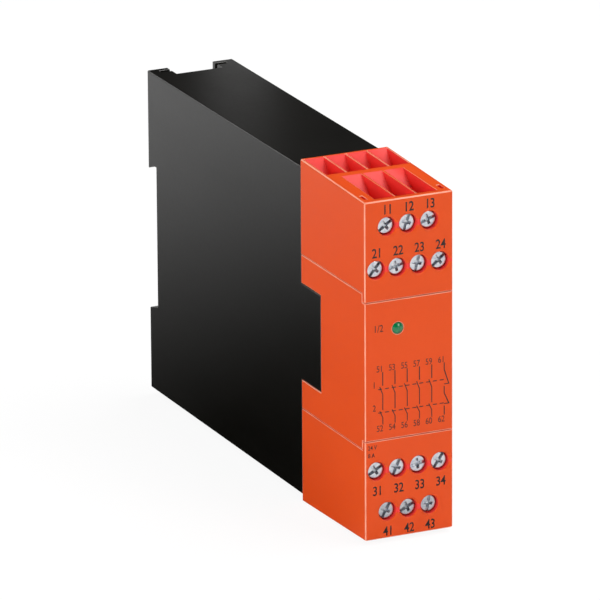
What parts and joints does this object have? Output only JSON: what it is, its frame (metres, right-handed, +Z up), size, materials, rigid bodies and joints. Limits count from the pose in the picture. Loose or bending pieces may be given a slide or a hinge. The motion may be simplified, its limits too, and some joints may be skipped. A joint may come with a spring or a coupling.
{
  "type": "safety relay expansion module",
  "caption": "Slim upright rail-mounted safety relay expansion module: black housing, orange front, recessed screw terminals with wire funnels above and below, sprung rail latch.",
  "frame": {"origin": "middle of the rail seat: mid-width, on the rail's centre line, on the face that the rail lies against", "axes": "+Z up, +Y towards the rail (rear), -Y the front face with the screws, +X to the right seen from the front"},
  "size_m": [0.0226, 0.1215, 0.084],
  "materials": {
    "black_plastic": "satin moulded",
    "orange_plastic": "satin moulded",
    "latch_plastic": "satin moulded",
    "spring_steel": "bright drawn wire",
    "circuit_board": "solder mask",
    "relay_case": "smooth moulded",
    "capacitor_sleeve": "shrunk sleeve",
    "varistor_coating": "dipped coating",
    "component_black": "moulded",
    "lamp_chip": "clear resin",
    "green_lens": "translucent green",
    "zinc_steel": "bright zinc plated",
    "nickel_brass": "nickel plated",
    "tinned_brass": "tinned"
  },
  "bodies": {
    "module": {"housing": "black_plastic", "front_cover": "orange_plastic", "upper_terminal_block": "orange_plastic", "lower_terminal_block": "orange_plastic", "latch_spring": "spring_steel", "terminal_board": "circuit_board", "relay_board": "circuit_board", "upper_relay": "relay_case", "lower_relay": "relay_case", "smoothing_capacitor": "capacitor_sleeve", "surge_varistor": "varistor_coating", "bridge_rectifier": "component_black", "status_led": "lamp_chip", "light_pipe": "green_lens", "current_bar_top_1": "tinned_brass", "current_bar_top_2": "tinned_brass", "current_bar_top_3": "tinned_brass", "current_bar_upper_1": "tinned_brass", "current_bar_upper_2": "tinned_brass", "current_bar_upper_3": "tinned_brass", "current_bar_upper_4": "tinned_brass", "current_bar_lower_1": "tinned_brass", "current_bar_lower_2": "tinned_brass", "current_bar_lower_3": "tinned_brass", "current_bar_lower_4": "tinned_brass", "current_bar_bottom_1": "tinned_brass", "current_bar_bottom_2": "tinned_brass", "current_bar_bottom_3": "tinned_brass"},
    "latch": {"rail_latch": "latch_plastic"},
    "screw_top_1": {"screw_top_1": "zinc_steel"},
    "cage_top_1": {"cage_top_1": "nickel_brass"},
    "screw_top_2": {"screw_top_2": "zinc_steel"},
    "cage_top_2": {"cage_top_2": "nickel_brass"},
    "screw_top_3": {"screw_top_3": "zinc_steel"},
    "cage_top_3": {"cage_top_3": "nickel_brass"},
    "screw_upper_1": {"screw_upper_1": "zinc_steel"},
    "cage_upper_1": {"cage_upper_1": "nickel_brass"},
    "screw_upper_2": {"screw_upper_2": "zinc_steel"},
    "cage_upper_2": {"cage_upper_2": "nickel_brass"},
    "screw_upper_3": {"screw_upper_3": "zinc_steel"},
    "cage_upper_3": {"cage_upper_3": "nickel_brass"},
    "screw_upper_4": {"screw_upper_4": "zinc_steel"},
    "cage_upper_4": {"cage_upper_4": "nickel_brass"},
    "screw_lower_1": {"screw_lower_1": "zinc_steel"},
    "cage_lower_1": {"cage_lower_1": "nickel_brass"},
    "screw_lower_2": {"screw_lower_2": "zinc_steel"},
    "cage_lower_2": {"cage_lower_2": "nickel_brass"},
    "screw_lower_3": {"screw_lower_3": "zinc_steel"},
    "cage_lower_3": {"cage_lower_3": "nickel_brass"},
    "screw_lower_4": {"screw_lower_4": "zinc_steel"},
    "cage_lower_4": {"cage_lower_4": "nickel_brass"},
    "screw_bottom_1": {"screw_bottom_1": "zinc_steel"},
    "cage_bottom_1": {"cage_bottom_1": "nickel_brass"},
    "screw_bottom_2": {"screw_bottom_2": "zinc_steel"},
    "cage_bottom_2": {"cage_bottom_2": "nickel_brass"},
    "screw_bottom_3": {"screw_bottom_3": "zinc_steel"},
    "cage_bottom_3": {"cage_bottom_3": "nickel_brass"}
  },
  "joints": [
    {"name": "latch_pull", "type": "slide", "parent": "module", "child": "latch", "axis": [0, 0, -1], "range_m": [0, 0.003], "stiffness_N_per_m": 500, "springref_m": -0.004, "deforming": ["latch_spring"]},
    {"name": "screw_top_1_turn", "type": "hinge", "parent": "module", "child": "screw_top_1", "pos_m": [-0.0054, -0.1152, 0.0353], "axis": [0, 1, 0], "range_deg": [0, 1800]},
    {"name": "cage_top_1_lift", "type": "slide", "parent": "module", "child": "cage_top_1", "axis": [0, -1, 0], "range_m": [0, 0.0025]},
    {"name": "screw_top_2_turn", "type": "hinge", "parent": "module", "child": "screw_top_2", "pos_m": [0, -0.1152, 0.0353], "axis": [0, 1, 0], "range_deg": [0, 1800]},
    {"name": "cage_top_2_lift", "type": "slide", "parent": "module", "child": "cage_top_2", "axis": [0, -1, 0], "range_m": [0, 0.0025]},
    {"name": "screw_top_3_turn", "type": "hinge", "parent": "module", "child": "screw_top_3", "pos_m": [0.0054, -0.1152, 0.0353], "axis": [0, 1, 0], "range_deg": [0, 1800]},
    {"name": "cage_top_3_lift", "type": "slide", "parent": "module", "child": "cage_top_3", "axis": [0, -1, 0], "range_m": [0, 0.0025]},
    {"name": "screw_upper_1_turn", "type": "hinge", "parent": "module", "child": "screw_upper_1", "pos_m": [-0.0081, -0.1152, 0.02515], "axis": [0, 1, 0], "range_deg": [0, 1800]},
    {"name": "cage_upper_1_lift", "type": "slide", "parent": "module", "child": "cage_upper_1", "axis": [0, -1, 0], "range_m": [0, 0.0025]},
    {"name": "screw_upper_2_turn", "type": "hinge", "parent": "module", "child": "screw_upper_2", "pos_m": [-0.0027, -0.1152, 0.02515], "axis": [0, 1, 0], "range_deg": [0, 1800]},
    {"name": "cage_upper_2_lift", "type": "slide", "parent": "module", "child": "cage_upper_2", "axis": [0, -1, 0], "range_m": [0, 0.0025]},
    {"name": "screw_upper_3_turn", "type": "hinge", "parent": "module", "child": "screw_upper_3", "pos_m": [0.0027, -0.1152, 0.02515], "axis": [0, 1, 0], "range_deg": [0, 1800]},
    {"name": "cage_upper_3_lift", "type": "slide", "parent": "module", "child": "cage_upper_3", "axis": [0, -1, 0], "range_m": [0, 0.0025]},
    {"name": "screw_upper_4_turn", "type": "hinge", "parent": "module", "child": "screw_upper_4", "pos_m": [0.0081, -0.1152, 0.02515], "axis": [0, 1, 0], "range_deg": [0, 1800]},
    {"name": "cage_upper_4_lift", "type": "slide", "parent": "module", "child": "cage_upper_4", "axis": [0, -1, 0], "range_m": [0, 0.0025]},
    {"name": "screw_lower_1_turn", "type": "hinge", "parent": "module", "child": "screw_lower_1", "pos_m": [-0.0081, -0.1152, -0.02355], "axis": [0, 1, 0], "range_deg": [0, 1800]},
    {"name": "cage_lower_1_lift", "type": "slide", "parent": "module", "child": "cage_lower_1", "axis": [0, -1, 0], "range_m": [0, 0.0025]},
    {"name": "screw_lower_2_turn", "type": "hinge", "parent": "module", "child": "screw_lower_2", "pos_m": [-0.0027, -0.1152, -0.02355], "axis": [0, 1, 0], "range_deg": [0, 1800]},
    {"name": "cage_lower_2_lift", "type": "slide", "parent": "module", "child": "cage_lower_2", "axis": [0, -1, 0], "range_m": [0, 0.0025]},
    {"name": "screw_lower_3_turn", "type": "hinge", "parent": "module", "child": "screw_lower_3", "pos_m": [0.0027, -0.1152, -0.02355], "axis": [0, 1, 0], "range_deg": [0, 1800]},
    {"name": "cage_lower_3_lift", "type": "slide", "parent": "module", "child": "cage_lower_3", "axis": [0, -1, 0], "range_m": [0, 0.0025]},
    {"name": "screw_lower_4_turn", "type": "hinge", "parent": "module", "child": "screw_lower_4", "pos_m": [0.0081, -0.1152, -0.02355], "axis": [0, 1, 0], "range_deg": [0, 1800]},
    {"name": "cage_lower_4_lift", "type": "slide", "parent": "module", "child": "cage_lower_4", "axis": [0, -1, 0], "range_m": [0, 0.0025]},
    {"name": "screw_bottom_1_turn", "type": "hinge", "parent": "module", "child": "screw_bottom_1", "pos_m": [-0.0054, -0.1152, -0.0337], "axis": [0, 1, 0], "range_deg": [0, 1800]},
    {"name": "cage_bottom_1_lift", "type": "slide", "parent": "module", "child": "cage_bottom_1", "axis": [0, -1, 0], "range_m": [0, 0.0025]},
    {"name": "screw_bottom_2_turn", "type": "hinge", "parent": "module", "child": "screw_bottom_2", "pos_m": [0, -0.1152, -0.0337], "axis": [0, 1, 0], "range_deg": [0, 1800]},
    {"name": "cage_bottom_2_lift", "type": "slide", "parent": "module", "child": "cage_bottom_2", "axis": [0, -1, 0], "range_m": [0, 0.0025]},
    {"name": "screw_bottom_3_turn", "type": "hinge", "parent": "module", "child": "screw_bottom_3", "pos_m": [0.0054, -0.1152, -0.0337], "axis": [0, 1, 0], "range_deg": [0, 1800]},
    {"name": "cage_bottom_3_lift", "type": "slide", "parent": "module", "child": "cage_bottom_3", "axis": [0, -1, 0], "range_m": [0, 0.0025]}
  ],
  "couplings": [
    {"joint": "screw_top_1_turn", "follows": "cage_top_1_lift", "rad_per_m": 12566},
    {"joint": "screw_top_2_turn", "follows": "cage_top_2_lift", "rad_per_m": 12566},
    {"joint": "screw_top_3_turn", "follows": "cage_top_3_lift", "rad_per_m": 12566},
    {"joint": "screw_upper_1_turn", "follows": "cage_upper_1_lift", "rad_per_m": 12566},
    {"joint": "screw_upper_2_turn", "follows": "cage_upper_2_lift", "rad_per_m": 12566},
    {"joint": "screw_upper_3_turn", "follows": "cage_upper_3_lift", "rad_per_m": 12566},
    {"joint": "screw_upper_4_turn", "follows": "cage_upper_4_lift", "rad_per_m": 12566},
    {"joint": "screw_lower_1_turn", "follows": "cage_lower_1_lift", "rad_per_m": 12566},
    {"joint": "screw_lower_2_turn", "follows": "cage_lower_2_lift", "rad_per_m": 12566},
    {"joint": "screw_lower_3_turn", "follows": "cage_lower_3_lift", "rad_per_m": 12566},
    {"joint": "screw_lower_4_turn", "follows": "cage_lower_4_lift", "rad_per_m": 12566},
    {"joint": "screw_bottom_1_turn", "follows": "cage_bottom_1_lift", "rad_per_m": 12566},
    {"joint": "screw_bottom_2_turn", "follows": "cage_bottom_2_lift", "rad_per_m": 12566},
    {"joint": "screw_bottom_3_turn", "follows": "cage_bottom_3_lift", "rad_per_m": 12566}
  ]
}
